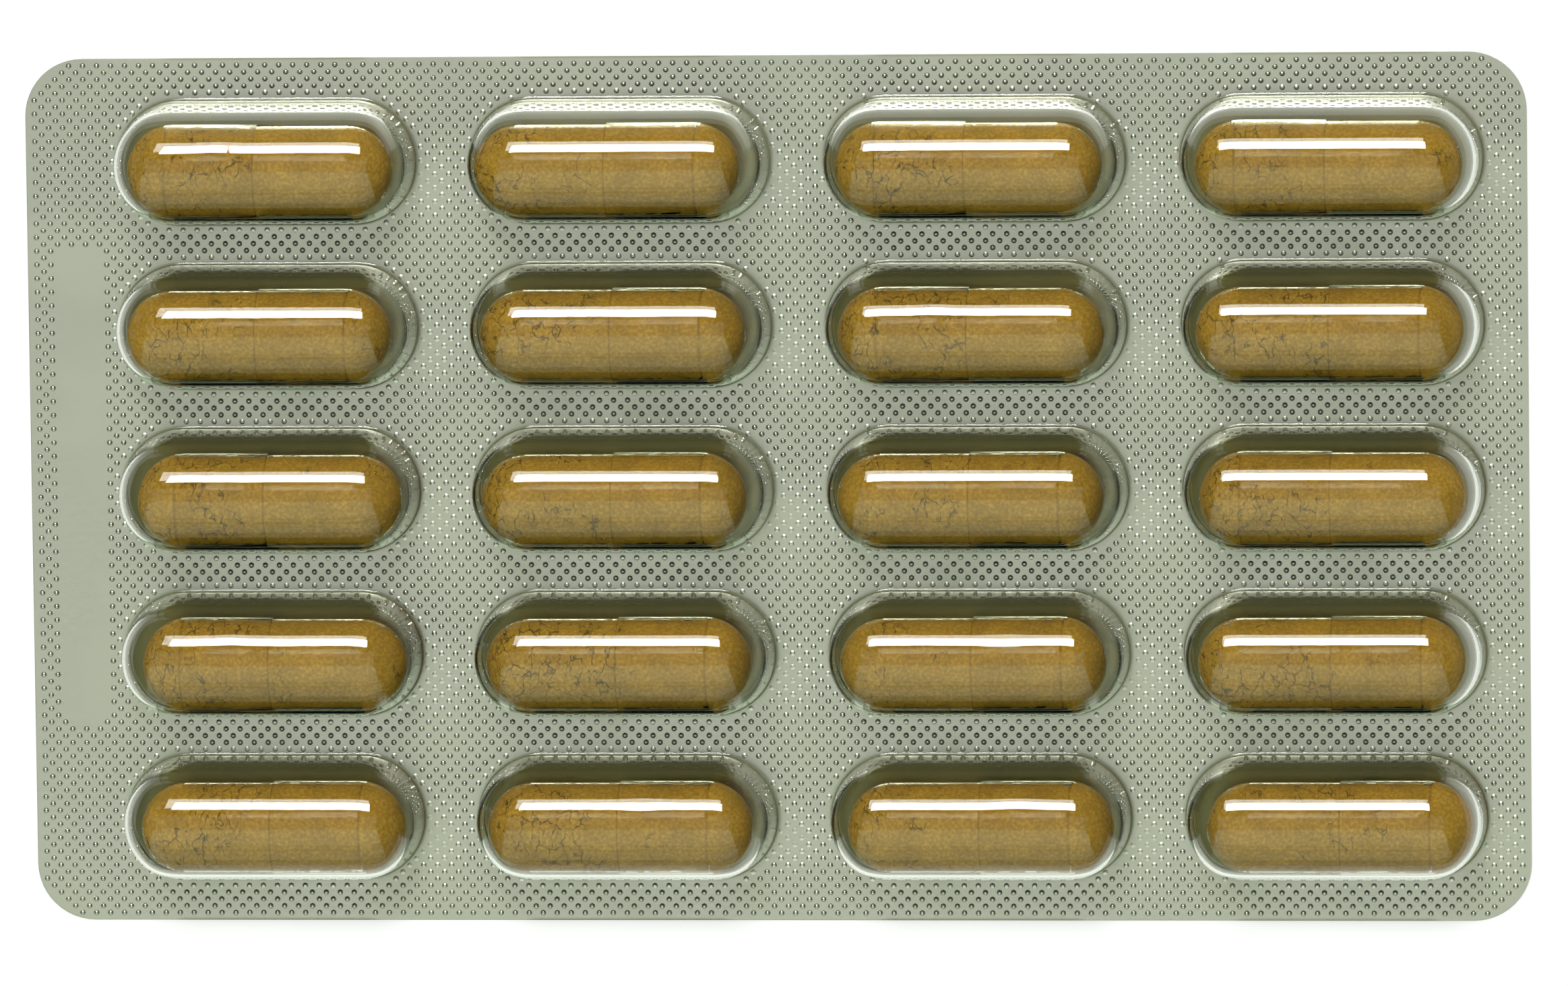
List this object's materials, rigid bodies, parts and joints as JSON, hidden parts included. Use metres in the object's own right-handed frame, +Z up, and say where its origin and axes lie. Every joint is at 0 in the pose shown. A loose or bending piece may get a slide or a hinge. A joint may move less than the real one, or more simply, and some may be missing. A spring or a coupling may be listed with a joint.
{
  "type": "capsule blister pack",
  "caption": "Clear formed blister pack sealed on knurled metal foil, with long round-ended pockets that each hold a clear two-piece capsule of brown powder",
  "frame": {"origin": "middle of the underside of the foil, which lies on the surface", "axes": "+X along the capsules to the right of the picture, +Y across the rows to its top, +Z up out of the foil, with the pockets upwards"},
  "size_m": [0.1222, 0.0706, 0.0082],
  "materials": {
    "clear_film": "clear thermoformed film, glossy",
    "foil": "satin aluminium foil with a fine knurl of round dents",
    "capsule_shell": "clear hard capsule shell, glossy",
    "powder": "packed fine brown powder with cracks"
  },
  "bodies": {
    "root": {"blister_film": "clear_film", "lidding_foil": "foil", "capsule_cap_r1_c1": "capsule_shell", "capsule_cap_r1_c2": "capsule_shell", "capsule_cap_r1_c3": "capsule_shell", "capsule_cap_r1_c4": "capsule_shell", "capsule_cap_r2_c1": "capsule_shell", "capsule_cap_r2_c2": "capsule_shell", "capsule_cap_r2_c3": "capsule_shell", "capsule_cap_r2_c4": "capsule_shell", "capsule_cap_r3_c1": "capsule_shell", "capsule_cap_r3_c2": "capsule_shell", "capsule_cap_r3_c3": "capsule_shell", "capsule_cap_r3_c4": "capsule_shell", "capsule_cap_r4_c1": "capsule_shell", "capsule_cap_r4_c2": "capsule_shell", "capsule_cap_r4_c3": "capsule_shell", "capsule_cap_r4_c4": "capsule_shell", "capsule_cap_r5_c1": "capsule_shell", "capsule_cap_r5_c2": "capsule_shell", "capsule_cap_r5_c3": "capsule_shell", "capsule_cap_r5_c4": "capsule_shell", "capsule_body_r1_c1": "capsule_shell", "capsule_body_r1_c2": "capsule_shell", "capsule_body_r1_c3": "capsule_shell", "capsule_body_r1_c4": "capsule_shell", "capsule_body_r2_c1": "capsule_shell", "capsule_body_r2_c2": "capsule_shell", "capsule_body_r2_c3": "capsule_shell", "capsule_body_r2_c4": "capsule_shell", "capsule_body_r3_c1": "capsule_shell", "capsule_body_r3_c2": "capsule_shell", "capsule_body_r3_c3": "capsule_shell", "capsule_body_r3_c4": "capsule_shell", "capsule_body_r4_c1": "capsule_shell", "capsule_body_r4_c2": "capsule_shell", "capsule_body_r4_c3": "capsule_shell", "capsule_body_r4_c4": "capsule_shell", "capsule_body_r5_c1": "capsule_shell", "capsule_body_r5_c2": "capsule_shell", "capsule_body_r5_c3": "capsule_shell", "capsule_body_r5_c4": "capsule_shell", "powder_fill_row_1": "powder", "powder_fill_row_2": "powder", "powder_fill_row_3": "powder", "powder_fill_row_4": "powder", "powder_fill_row_5": "powder"}
  },
  "joints": []
}
